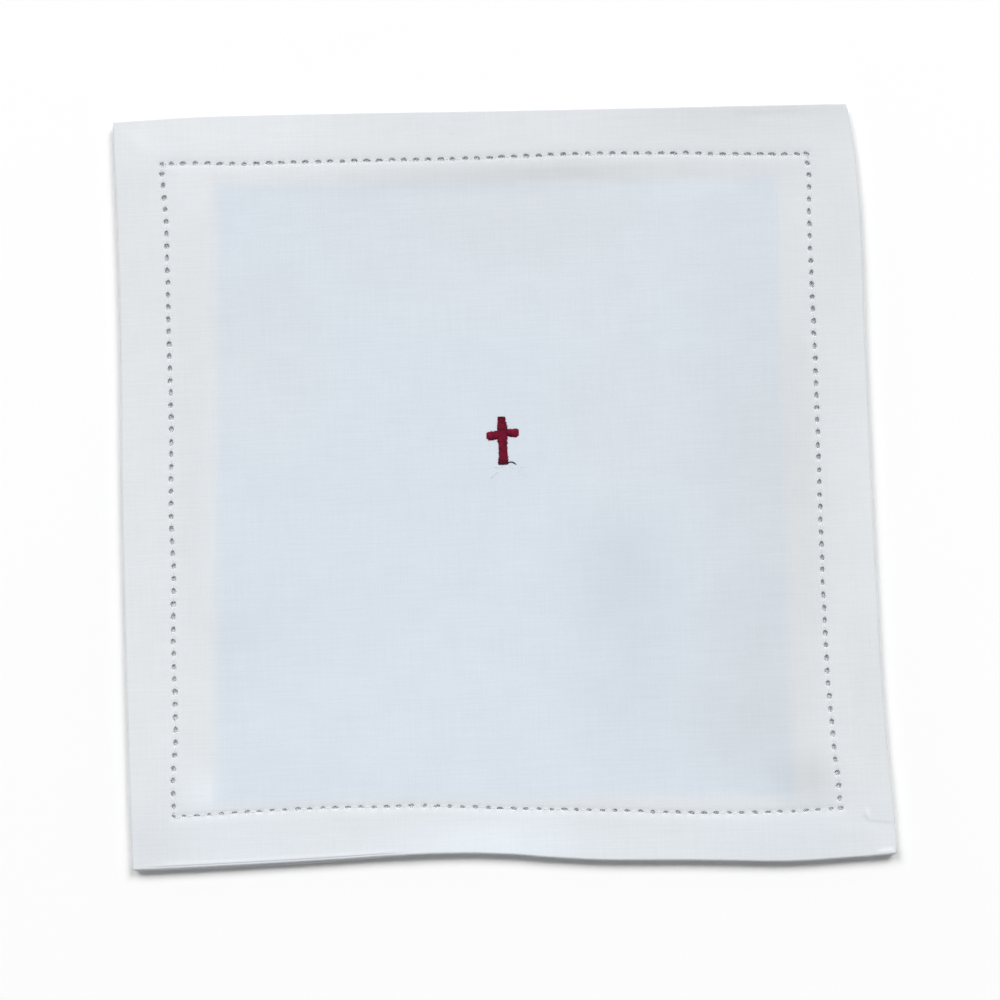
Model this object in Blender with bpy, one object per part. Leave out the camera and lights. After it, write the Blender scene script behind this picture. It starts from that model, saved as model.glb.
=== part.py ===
"""A chalice pall: hemmed front and back panels of white linen, a stiffener held between
them, and a small embroidered cross on the front. It lies flat on its back.

Metres, +Z up. The origin is the middle of the panels' outline, on the surface below.
"""

import math
from collections import namedtuple

import bmesh
import bpy

MM = 0.001

# Driving sizes of the panels
WIDTH = 178 * MM           # finished width at the foot of the panel, seven inches
HEIGHT = 178.4 * MM        # finished height
TAPER = 0.8 * MM           # how much narrower the panel is at its head
SKEW = 0.012               # how far the weave is pulled towards one diagonal, as a slope
HEM = 12 * MM              # folded hem, half an inch
CLOTH = 1.0 * MM           # depth of a panel with its hem
AIR = 0.3 * MM             # gap between neighbouring pieces
EDGE_ROUND = 0.3 * MM      # rounding of a folded edge
ROUND_STEPS = 2
SHARP_EDGE = math.radians(60)      # edges this sharp are rounded
SHADING_CREASE = math.radians(35)  # and shading creases at this angle

# The stiffener, which lies a little turned between the panels
BOARD_WIDTH = 134 * MM
BOARD_HEIGHT = 146 * MM
BOARD_DEPTH = 1.2 * MM
BOARD_CORNER = 3 * MM
BOARD_CORNER_STEPS = 5
BOARD_MIDDLE = (0.9 * MM, -1.0 * MM)
BOARD_TURN = math.radians(-1.5)

# How the front falls from the stiffener to the hem
SHOULDER = 2 * MM          # level cloth past the stiffener's edge
FALL = 5 * MM              # width of the slope beyond it

# The cross, measured from the middle of its crossing
CROSS_AT = (1.75 * MM, 10.95 * MM)
CROSS_DEPTH = 0.5 * MM
CROSS_ROUND = 0.2 * MM

# Stations of the front's mesh
STEP_HEM = 4 * MM
STEP_FALL = 2 * MM
STEP_MIDDLE = 10 * MM
BAND_SIDES = 30 * MM       # the fine stations reach this far in from the left and right edges
BAND_ENDS = 26 * MM        # and this far in from the top and bottom edges
OUTLINE_STEPS = 24         # points along each edge of the back
MEASURE_STEPS = 200        # points along each edge where the outline's box is measured

# Heights of the layers, from the surface up
BACK_TOP = CLOTH
BOARD_BASE = BACK_TOP + AIR
BOARD_TOP = BOARD_BASE + BOARD_DEPTH
HEM_BASE = BACK_TOP + AIR
FRONT_RISE = BOARD_TOP + AIR - HEM_BASE

Bow = namedtuple("Bow", "along out")
Swell = namedtuple("Swell", "x y radius height")
Corner = namedtuple("Corner", "x y")

# How far each edge of a panel swings out of the straight line between its corners, going
# round anticlockwise: the place along the edge, and the distance outwards in millimetres.
BOWS = {
    "bottom": (
        Bow(along=0.08, out=-0.3),
        Bow(along=0.25, out=-1.3),
        Bow(along=0.41, out=-2.4),
        Bow(along=0.51, out=-1.6),
        Bow(along=0.59, out=-0.2),
        Bow(along=0.74, out=0.5),
        Bow(along=0.86, out=1.2),
        Bow(along=0.95, out=0.5),
    ),
    "right": (
        Bow(along=0.06, out=-0.3),
        Bow(along=0.24, out=-0.9),
        Bow(along=0.69, out=0.6),
        Bow(along=0.85, out=1.5),
        Bow(along=0.94, out=1.0),
    ),
    "top": (
        Bow(along=0.12, out=0.1),
        Bow(along=0.45, out=0.4),
        Bow(along=0.86, out=0.9),
    ),
    "left": (
        Bow(along=0.18, out=-0.5),
        Bow(along=0.36, out=-0.4),
        Bow(along=0.50, out=0.1),
        Bow(along=0.84, out=0.2),
    ),
}

# How far the back peeps out past the front, along the same edges in the same units.
PEEPS = {
    "bottom": (
        Bow(along=0.04, out=0.4),
        Bow(along=0.30, out=0.5),
        Bow(along=0.42, out=-0.1),
        Bow(along=0.80, out=-0.3),
    ),
    "right": (Bow(along=0.5, out=-0.4),),
    "top": (Bow(along=0.5, out=-0.4),),
    "left": (Bow(along=0.5, out=-0.3),),
}

# Soft swells where the front stands off what is under it, in millimetres.
SWELLS = (
    Swell(x=26, y=-14, radius=24, height=0.5),
    Swell(x=-34, y=-36, radius=30, height=0.4),
    Swell(x=-30, y=44, radius=28, height=0.4),
    Swell(x=46, y=34, radius=22, height=0.3),
    Swell(x=45, y=-55, radius=22, height=0.4),
    Swell(x=84, y=-80, radius=12, height=0.5),
    Swell(x=84, y=44, radius=16, height=0.4),
    Swell(x=-20, y=-82, radius=18, height=0.4),
    Swell(x=-83, y=20, radius=18, height=0.3),
)

# The outline of the cross in millimetres, anticlockwise from the foot's left corner. Its
# upright leans a little to the left at the foot and narrows to a waist below the arms.
CROSS = (
    Corner(x=-1.4, y=-7.2),
    Corner(x=1.0, y=-7.2),
    Corner(x=1.0, y=-4.8),
    Corner(x=0.8, y=-3.1),
    Corner(x=1.0, y=-1.7),
    Corner(x=1.1, y=-0.6),
    Corner(x=3.2, y=-0.8),
    Corner(x=3.7, y=-0.5),
    Corner(x=3.7, y=0.8),
    Corner(x=3.2, y=1.1),
    Corner(x=1.1, y=1.1),
    Corner(x=0.8, y=2.9),
    Corner(x=0.6, y=4.0),
    Corner(x=-1.0, y=4.0),
    Corner(x=-1.0, y=2.9),
    Corner(x=-1.2, y=0.7),
    Corner(x=-3.4, y=0.6),
    Corner(x=-3.8, y=0.2),
    Corner(x=-3.8, y=-1.0),
    Corner(x=-3.4, y=-1.4),
    Corner(x=-1.3, y=-1.3),
    Corner(x=-1.0, y=-3.0),
    Corner(x=-1.1, y=-4.7),
)


def clear_scene():
    for obj in list(bpy.data.objects):
        bpy.data.objects.remove(obj, do_unlink=True)


def make_material(name, colour, roughness):
    material = bpy.data.materials.new(name)
    material.use_nodes = True
    shader = material.node_tree.nodes["Principled BSDF"]
    shader.inputs["Base Color"].default_value = (*colour, 1.0)
    shader.inputs["Roughness"].default_value = roughness
    shader.inputs["Metallic"].default_value = 0.0
    return material


def smooth_step(t):
    t = min(max(t, 0.0), 1.0)
    return t * t * (3 - 2 * t)


def swing(rows, along):
    """Metres outwards at a place along an edge, on a smooth curve through the table's rows."""
    knots = [Bow(0.0, 0.0), *rows, Bow(1.0, 0.0)]
    last = len(knots) - 1
    i = 0
    while i < last - 1 and along > knots[i + 1].along:
        i += 1
    before, start, end, after = knots[max(i - 1, 0)], knots[i], knots[i + 1], knots[min(i + 2, last)]
    span = end.along - start.along
    slope_start = (end.out - before.out) / (end.along - before.along) * span
    slope_end = (after.out - start.out) / (after.along - start.along) * span
    t = (along - start.along) / span
    cubic = 2 * start.out - 2 * end.out + slope_start + slope_end
    square = 3 * end.out - 3 * start.out - 2 * slope_start - slope_end
    return (((cubic * t + square) * t + slope_start) * t + start.out) * MM


def spread(u, v, tables):
    """What the edges' swings add at u across and v up the panel, fading to the far edge."""
    right = u * swing(tables["right"], v)
    left = (1 - u) * swing(tables["left"], 1 - v)
    top = v * swing(tables["top"], 1 - u)
    bottom = (1 - v) * swing(tables["bottom"], u)
    return right - left, top - bottom


def place_raw(u, v):
    x = (u - 0.5) * (WIDTH - TAPER * v)
    y = (v - 0.5) * HEIGHT
    across, up = spread(u, v, BOWS)
    return x - SKEW * y + across, y - SKEW * x + up


def edge_walk(steps):
    """Places round the panel's edge, anticlockwise from the lower left corner."""
    run = [i / steps for i in range(steps)]
    bottom = [(t, 0.0) for t in run]
    right = [(1.0, t) for t in run]
    top = [(1 - t, 1.0) for t in run]
    left = [(0.0, 1 - t) for t in run]
    return bottom + right + top + left


def outline_middle():
    """The middle of the box round the panel's outline, which becomes the origin."""
    points = [place_raw(u, v) for u, v in edge_walk(MEASURE_STEPS)]
    xs = [x for x, y in points]
    ys = [y for x, y in points]
    return (min(xs) + max(xs)) / 2, (min(ys) + max(ys)) / 2


MIDDLE = outline_middle()


def place(u, v):
    """Where the point at u across and v up the panel lies, seen from above."""
    x, y = place_raw(u, v)
    return x - MIDDLE[0], y - MIDDLE[1]


def past_board(x, y):
    """Distance from a point to the stiffener's outline, 0 over the stiffener itself."""
    x -= BOARD_MIDDLE[0]
    y -= BOARD_MIDDLE[1]
    along = x * math.cos(BOARD_TURN) + y * math.sin(BOARD_TURN)
    up = y * math.cos(BOARD_TURN) - x * math.sin(BOARD_TURN)
    return math.hypot(max(abs(along) - BOARD_WIDTH / 2, 0.0), max(abs(up) - BOARD_HEIGHT / 2, 0.0))


def swell_at(x, y):
    total = 0.0
    for swell in SWELLS:
        far = math.hypot(x - swell.x * MM, y - swell.y * MM) / (swell.radius * MM)
        total += swell.height * MM * (1 - smooth_step(far))
    return total


def front_base(x, y):
    """Height of the front panel's underside."""
    rise = FRONT_RISE * (1 - smooth_step((past_board(x, y) - SHOULDER) / FALL))
    return HEM_BASE + rise + swell_at(x, y)


def stations(marks_and_steps):
    """Fractions of the last mark: even steps between marks, each about as long as its step."""
    places = [0.0]
    for mark, step in marks_and_steps:
        start = places[-1]
        count = max(1, round((mark - start) / step))
        places += [start + (mark - start) * (i + 1) / count for i in range(count)]
    return [place / places[-1] for place in places]


def station_marks(side, band):
    return (
        (HEM, STEP_HEM),
        (band, STEP_FALL),
        (side - band, STEP_MIDDLE),
        (side - HEM, STEP_FALL),
        (side, STEP_HEM),
    )


def new_object(name, mesh_maker, material):
    """Turn what mesh_maker puts into a bmesh into a named object with its material."""
    bm = bmesh.new()
    mesh_maker(bm)
    bmesh.ops.recalc_face_normals(bm, faces=bm.faces)
    mesh = bpy.data.meshes.new(name)
    bm.to_mesh(mesh)
    bm.free()
    mesh.materials.append(material)
    obj = bpy.data.objects.new(name, mesh)
    bpy.context.scene.collection.objects.link(obj)
    return obj


def raise_outline(bm, outline, base, depth):
    """A flat-bottomed solid of one outline."""
    face = bm.faces.new([bm.verts.new((x, y, base)) for x, y in outline])
    raised = bmesh.ops.extrude_face_region(bm, geom=[face])["geom"]
    top = [item for item in raised if isinstance(item, bmesh.types.BMVert)]
    bmesh.ops.translate(bm, verts=top, vec=(0.0, 0.0, depth))


def round_edges(obj, radius, steps=ROUND_STEPS):
    """Round the sharp edges, and no others."""
    bevel = obj.modifiers.new("Rounded edge", "BEVEL")
    bevel.width = radius
    bevel.segments = steps
    bevel.limit_method = "ANGLE"
    bevel.angle_limit = SHARP_EDGE


def shade(obj):
    obj.data.shade_smooth()
    obj.data.set_sharp_from_angle(angle=SHADING_CREASE)


def build_back_panel(linen):
    outline = []
    for u, v in edge_walk(OUTLINE_STEPS):
        x, y = place(u, v)
        across, up = spread(u, v, PEEPS)
        outline.append((x + across, y + up))
    back = new_object("back_panel", lambda bm: raise_outline(bm, outline, 0.0, CLOTH), linen)
    round_edges(back, EDGE_ROUND)
    return back


def board_outline():
    """The stiffener's rectangle with round corners, turned and moved to its place."""
    points = []
    for quarter, (side, end) in enumerate(((1, 1), (-1, 1), (-1, -1), (1, -1))):
        corner_x = side * (BOARD_WIDTH / 2 - BOARD_CORNER)
        corner_y = end * (BOARD_HEIGHT / 2 - BOARD_CORNER)
        for i in range(BOARD_CORNER_STEPS + 1):
            angle = (quarter + i / BOARD_CORNER_STEPS) * math.pi / 2
            x = corner_x + BOARD_CORNER * math.cos(angle)
            y = corner_y + BOARD_CORNER * math.sin(angle)
            turned_x = x * math.cos(BOARD_TURN) - y * math.sin(BOARD_TURN)
            turned_y = x * math.sin(BOARD_TURN) + y * math.cos(BOARD_TURN)
            points.append((BOARD_MIDDLE[0] + turned_x, BOARD_MIDDLE[1] + turned_y))
    return points


def build_stiffener(board):
    outline = board_outline()
    return new_object("stiffener", lambda bm: raise_outline(bm, outline, BOARD_BASE, BOARD_DEPTH), board)


def front_sheet(bm):
    """The underside of the front panel as an open sheet, facing up."""
    across = stations(station_marks(WIDTH, BAND_SIDES))
    upwards = stations(station_marks(HEIGHT, BAND_ENDS))
    rows = []
    for v in upwards:
        spots = [place(u, v) for u in across]
        rows.append([bm.verts.new((x, y, front_base(x, y))) for x, y in spots])
    for low, high in zip(rows, rows[1:]):
        for i in range(len(across) - 1):
            bm.faces.new((low[i], low[i + 1], high[i + 1], high[i]))


def build_front_panel(linen):
    front = new_object("front_panel", front_sheet, linen)
    thickness = front.modifiers.new("Cloth depth", "SOLIDIFY")
    thickness.thickness = CLOTH
    thickness.offset = 1.0
    round_edges(front, EDGE_ROUND)
    shade(front)
    return front


def build_cross(thread):
    outline = [(CROSS_AT[0] + c.x * MM, CROSS_AT[1] + c.y * MM) for c in CROSS]
    highest = max(front_base(x, y) for x, y in outline)
    base = highest + CLOTH + AIR
    cross = new_object("cross", lambda bm: raise_outline(bm, outline, base, CROSS_DEPTH), thread)
    round_edges(cross, CROSS_ROUND)
    return cross


def main():
    clear_scene()
    linen = make_material("white_linen", (0.74, 0.77, 0.79), 0.9)
    board = make_material("stiffener_sheet", (0.66, 0.74, 0.80), 0.45)
    thread = make_material("crimson_thread", (0.22, 0.008, 0.034), 0.5)
    build_back_panel(linen)
    build_stiffener(board)
    build_front_panel(linen)
    build_cross(thread)


main()
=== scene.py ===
"""How the chalice pall looks: two panels of white linen with folded hems, a hemstitched
row of holes round the front one, the stiffener between them and the embroidered cross.

Metres, +Z up, in the frame's place. The panels' outline and height, the stiffener's
rectangle and the place of the cross are measured on the frame's solids. The rest is worked
out from the sizes below.
"""

import math
import random
from collections import namedtuple

import bpy
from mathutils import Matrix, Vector, noise
from mathutils.bvhtree import BVHTree


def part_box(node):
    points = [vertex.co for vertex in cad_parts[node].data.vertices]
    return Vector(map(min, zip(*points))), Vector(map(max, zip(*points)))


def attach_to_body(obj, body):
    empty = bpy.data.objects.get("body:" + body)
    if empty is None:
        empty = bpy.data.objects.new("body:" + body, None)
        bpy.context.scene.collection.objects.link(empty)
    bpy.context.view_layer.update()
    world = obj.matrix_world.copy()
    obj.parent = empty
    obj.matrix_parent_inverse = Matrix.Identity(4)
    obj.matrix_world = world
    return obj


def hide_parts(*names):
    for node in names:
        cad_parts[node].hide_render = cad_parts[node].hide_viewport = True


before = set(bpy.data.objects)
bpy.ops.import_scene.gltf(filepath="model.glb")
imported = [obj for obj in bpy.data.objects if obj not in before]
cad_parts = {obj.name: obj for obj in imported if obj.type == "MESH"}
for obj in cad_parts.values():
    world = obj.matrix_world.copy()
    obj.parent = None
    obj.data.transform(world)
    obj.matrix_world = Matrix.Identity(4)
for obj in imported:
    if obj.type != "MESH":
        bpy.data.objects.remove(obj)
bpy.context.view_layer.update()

MM = 0.001
SIDES = ("bottom", "right", "top", "left")   # anticlockwise, from the lower left corner
CORNER_WAYS = ((-1, -1), (1, -1), (1, 1), (-1, 1))

# How a panel's solid is measured
OUTLINE_PLACES = 40        # places along each side where the outline is measured
OUTLINE_REACH = 8 * MM     # measuring starts this far outside the straight side
LEVEL_STEP = 0.12 * MM     # and is repeated at levels this far apart
HEIGHT_PLACES = 120        # places across and up where the height is measured
HEIGHT_PASSES = 7          # times that the heights are evened out
RIM = 1.0 * MM             # closer to the edge than this, the height is the one here
SKY = 0.05                 # measuring from above starts at this height

# The cloth and its hem
CLOTH = 0.30 * MM          # thickness of one layer of linen
HEM = 12 * MM
HEM_STACK = 1.0 * MM       # the three layers of the hem
FOLD_RADIUS = 0.35 * MM    # middle of the cloth where it folds at the edge
TURN_RADIUS = 0.175 * MM   # and where it folds back under
FOLD_STEPS = 6
FACE_SHARES = (1.0, 0.96, 0.89, 0.8, 0.7, 0.6, 0.5, 0.4, 0.32)
UNDER_SHARES = (0.1, 0.25, 0.45, 0.65, 0.85, 0.97)
TURN_SHARES = (0.94, 0.8, 0.6, 0.4)
TURN_STEPS = 3
LOWEST_RELIEF = -0.22 * MM    # the layers under the face follow its relief down to this
RISE_SHARE = 0.45          # over the stiffener the one layer lies low in the solid's depth
FRONT_HEM_EXTRA = -1.4 * MM   # the front's hem ends this far before the row's strip
BACK_HEM_EXTRA = 2.6 * MM  # the back's hem is this much wider than the front's
RIDGE_FLAT = 1.1 * MM      # the back is drawn up level with the row this far beside it
RIDGE_END = 2.3 * MM       # and lies flat again here
BORDER = 2.0 * MM          # half the soft border of what the stiffener colours
FOLD_HIGHLIGHT_AND_SHADE = {"bottom": 0.03, "right": -0.06, "top": 0.02, "left": -0.08}   # painted light on the folds: a highlight where above nothing, shade where below

# The lip along the lower edge's left part: a groove near the edge, a painted highlight on the crest
# inside it, and the lip outside it a little lower with painted shade.
LIP_START, LIP_END = 3 * MM, 64 * MM       # from the lower left corner
LIP_FADE = 6 * MM
GROOVE_AT = 0.78 * MM      # from the edge
GROOVE_WIDTH = 0.14 * MM
GROOVE_DEPTH = 0.035 * MM
LIP_DROP = 0.08 * MM
# painted shade on the lip outside the groove
LIP_PAINTED_SHADE = -0.09
CREST_AT = 1.35 * MM
CREST_REACH = 0.5 * MM
# painted highlight on the crest
CREST_PAINTED_HIGHLIGHT = 0.07
EDGE_DEPTHS = (2.6, 2.0, 1.6, 1.3, 1.1, 0.95, 0.86, 0.78, 0.70, 0.62)  # of the rings there, in mm

# The hemstitched row
HOLES = 52                 # holes along a side, besides the corners
CORNER_GAP = 0.78          # first gap beside a corner, as a share of the others
BAND = 1.02 * MM           # half the width of the strip that holds the holes
SINK = 0.11 * MM           # how far the row sinks into the cloth
SINK_REACH = 1.1 * MM
RING_POINTS = 16
RIM_RINGS = ((1.3, 0.0), (1.12, 0.3), (1.0, 1.0))   # times the hole's size, share of its dip
STITCH_OUT = 1.6 * MM      # how far the side stitches reach from the row
STITCH_RADIUS = 0.055 * MM
STITCH_STEPS = 4
BAR_RADIUS = 0.08 * MM     # of the thread along the row between two holes
WRAPS = 15                 # turns of thread over a hole's rim
WRAP_RADIUS = 0.055 * MM
WRAP_REACH = (1.3, 1.5)    # how far out they reach, as a share of the hole
FIBRE_RADIUS = 0.03 * MM   # of the fibres left across a hole
FIBRE_DEPTHS = (0.04, 0.14)   # how far under the face they lie, in millimetres
FIBRE_GROW = 1.05          # they reach this far past the rim, as a share of the hole
FIBRE_TONES = (0.9, 1.05)
ROW_PAINTED_LIGHT = 0.25            # painted light: the back is this much lighter under the row, so the holes show less shade
CORNER_SHRINK = 0.84       # the holes beside a corner are shorter by this
HOLE_SLIP = (0.12, 0.07)   # how far a hole may lie off its place along and across, in millimetres

Inset = namedtuple("Inset", "along depth")
Hole = namedtuple("Hole", "length width uneven dip depth fibres")
Crease = namedtuple("Crease", "x0 y0 x1 y1 width height")
Spot = namedtuple("Spot", "x y across up change")
Line = namedtuple("Line", "x0 y0 x1 y1 width change")
Width = namedtuple("Width", "at low high")

# How far the row lies in from the panel's edge, in millimetres, at the places along each side
# where its course bends; it runs smoothly between them.
ROW = {
    "bottom": (
        Inset(along=14, depth=12.0),
        Inset(along=28, depth=12.3),
        Inset(along=45, depth=12.3),
        Inset(along=62, depth=11.5),
        Inset(along=84, depth=10.8),
        Inset(along=108, depth=11.6),
        Inset(along=132, depth=11.0),
        Inset(along=155, depth=11.5),
    ),
    "right": (
        Inset(along=12, depth=12.3),
        Inset(along=45, depth=12.8),
        Inset(along=122, depth=12.2),
        Inset(along=142, depth=12.5),
        Inset(along=150, depth=12.4),
        Inset(along=162, depth=11.7),
    ),
    "top": (
        Inset(along=14, depth=12.5),
        Inset(along=30, depth=12.2),
        Inset(along=40, depth=11.7),
        Inset(along=63, depth=11.4),
        Inset(along=103, depth=12.3),
        Inset(along=148, depth=12.4),
        Inset(along=163, depth=11.6),
    ),
    "left": (
        Inset(along=14, depth=11.5),
        Inset(along=26, depth=11.9),
        Inset(along=50, depth=11.8),
        Inset(along=78, depth=12.1),
        Inset(along=96, depth=11.7),
        Inset(along=109, depth=12.0),
        Inset(along=126, depth=11.5),
        Inset(along=145, depth=11.5),
        Inset(along=160, depth=10.4),
    ),
}

# The holes of each side in millimetres: their length along the row and width across it,
# how uneven they are as a share of that, how far their rim dips, how deep under the face the
# back lies there, and how many fibres were left across them.
HOLE_SIZES = {
    "bottom": Hole(length=1.34, width=0.86, uneven=0.15, dip=0.05, depth=0.42, fibres=7),
    "right": Hole(length=1.48, width=1.20, uneven=0.11, dip=0.08, depth=0.56, fibres=8),
    "top": Hole(length=1.60, width=1.10, uneven=0.12, dip=0.07, depth=0.45, fibres=8),
    "left": Hole(length=1.48, width=1.20, uneven=0.12, dip=0.08, depth=0.56, fibres=8),
}

# Creases and ridges of the front in millimetres; a trough has a height below nothing.
CREASES = (
    Crease(x0=0.8, y0=72.9, x1=40.4, y1=71.7, width=1.1, height=-0.16),
    Crease(x0=40.4, y0=71.7, x1=65.4, y1=69.0, width=1.3, height=-0.08),
    Crease(x0=-4, y0=74.0, x1=43, y1=73.0, width=1.3, height=0.08),
    Crease(x0=82.4, y0=-81.6, x1=89.7, y1=-82.9, width=1.3, height=-0.16),
    Crease(x0=85.5, y0=-88.4, x1=88.5, y1=-89.8, width=1.2, height=0.16),
    Crease(x0=52, y0=85.7, x1=86, y1=85.8, width=0.9, height=-0.07),
    Crease(x0=-88.5, y0=89.0, x1=-80, y1=80, width=1.5, height=0.08),
    Crease(x0=76.6, y0=-21.4, x1=79.4, y1=-54.2, width=2.2, height=-0.05),
    Crease(x0=-75.6, y0=-25.5, x1=-74.6, y1=8.0, width=2.0, height=-0.05),
)

# Soft spots of painted light and shade on the front, lighter or darker: middle and reach in
# millimetres, and the change as a share.
LIGHT_AND_SHADE_SPOTS = (
    Spot(x=28, y=-21, across=22, up=22, change=-0.06),
    Spot(x=59, y=-60, across=24, up=26, change=-0.085),
    Spot(x=61, y=-35, across=20, up=20, change=-0.035),
    Spot(x=-62, y=-35, across=17, up=17, change=-0.03),
    Spot(x=-58, y=39, across=24, up=24, change=-0.03),
    Spot(x=-25, y=-55, across=34, up=34, change=0.015),
    Spot(x=-71, y=-70, across=8, up=8, change=0.07),
    Spot(x=-62, y=87, across=42, up=14, change=0.06),
    Spot(x=62, y=87, across=48, up=14, change=-0.08),
    Spot(x=84, y=52, across=10, up=40, change=-0.04),
    Spot(x=85, y=-56, across=10, up=38, change=-0.05),
    Spot(x=-83, y=-82, across=14, up=12, change=-0.055),
    Spot(x=-5, y=-84, across=34, up=10, change=0.12),
    Spot(x=12, y=73.5, across=76, up=6.5, change=-0.10),
    Spot(x=72, y=0, across=7, up=85, change=-0.025),
    Spot(x=70, y=-73, across=14, up=11, change=-0.12),
    Spot(x=-72.5, y=3, across=6, up=60, change=-0.035),
    Spot(x=64, y=0, across=28, up=90, change=-0.08),
    Spot(x=34, y=-45, across=28, up=45, change=-0.05),
    Spot(x=10, y=62, across=80, up=22, change=-0.03),
    Spot(x=72, y=72, across=16, up=9, change=-0.045),
    Spot(x=30, y=14, across=34, up=38, change=-0.02),
    Spot(x=-84, y=86, across=12, up=12, change=0.03),
    Spot(x=-62, y=-82, across=40, up=12, change=0.02),
    Spot(x=-71, y=74, across=10, up=9, change=0.03),
    Spot(x=68, y=-88, across=34, up=7, change=-0.04),
)

# Soft spots that look more or less blue, as a share of what the stiffener does.
COOLNESS = (
    Spot(x=10, y=66, across=90, up=45, change=-0.45),
    Spot(x=66, y=0, across=34, up=85, change=-0.4),
    Spot(x=-56, y=30, across=26, up=34, change=-0.35),
    Spot(x=30, y=15, across=26, up=34, change=-0.3),
    Spot(x=10, y=73.5, across=70, up=5, change=0.3),
    Spot(x=-3, y=-84, across=50, up=14, change=0.6),
    Spot(x=-62, y=-82, across=46, up=16, change=0.4),
    Spot(x=60, y=-84, across=46, up=16, change=0.45),
    Spot(x=60, y=-56, across=30, up=30, change=-0.3),
    Spot(x=-72, y=-70, across=10, up=10, change=0.35),
)

# Fine creases of the front in millimetres, too narrow to build: a change below nothing is painted shade,
# above nothing a painted highlight.
CREASE_SHADE_LINES = (
    Line(x0=82.3, y0=-80.6, x1=83.4, y1=-82.2, width=0.5, change=-0.10),
    Line(x0=82.8, y0=-82.1, x1=89.8, y1=-82.9, width=0.45, change=-0.10),
    Line(x0=82.8, y0=-80.2, x1=84.0, y1=-79.8, width=0.9, change=0.09),
    Line(x0=84.6, y0=-89.1, x1=89.4, y1=-88.7, width=0.4, change=0.14),
    Line(x0=0.8, y0=2.5, x1=-2.0, y1=-0.7, width=0.35, change=-0.03),
    Line(x0=5.3, y0=3.3, x1=7.1, y1=0.7, width=0.35, change=-0.03),
    Line(x0=-8.9, y0=84.0, x1=-7.2, y1=84.2, width=0.25, change=-0.05),
)

SLOPE_EVENING = 0.8        # painted light: how much lighter the front is made where it rises towards its head
FOOT_PAINTED_LIGHT = 0.04        # painted light: the front gets lighter towards its foot by this
TONE_SPAN = 180 * MM       # from foot to head
CREASE_ENDS = 0.08         # nearer its ends than this share of its length, a crease is even

# Relief with no crease of its own: a noise as wide and as high as this, in millimetres.
Swell = namedtuple("Swell", "width height")
UNEVEN = (Swell(width=24, height=0.10), Swell(width=8, height=0.035))
UNEVEN_AT_EDGE = 0.35      # share of that unevenness at the edge
UNEVEN_FULL = 10 * MM      # and how far in it has its full height

# Where the random draws start
UNEVEN_SEED = 3
HOLE_SEED = 7
THREAD_SEED = 11
SILK_SEED = 5


def smooth_step(t):
    t = min(max(t, 0.0), 1.0)
    return t * t * (3 - 2 * t)


def between(values, t):
    """The value at t from 0 to 1 on a smooth curve through even places."""
    last = len(values) - 1
    i = min(int(t * last), last - 1)
    f = t * last - i
    start, end = values[i], values[i + 1]
    before, after = values[max(i - 1, 0)], values[min(i + 2, last)]
    slope_start = (end - before) / 2
    slope_end = (after - start) / 2
    cubic = 2 * start - 2 * end + slope_start + slope_end
    square = 3 * end - 3 * start - 2 * slope_start - slope_end
    return ((cubic * f + square) * f + slope_start) * f + start


def far_point(points, way):
    """The point that lies farthest along a way seen from above."""
    return max(points, key=lambda p: p.x * way[0] + p.y * way[1])


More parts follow.
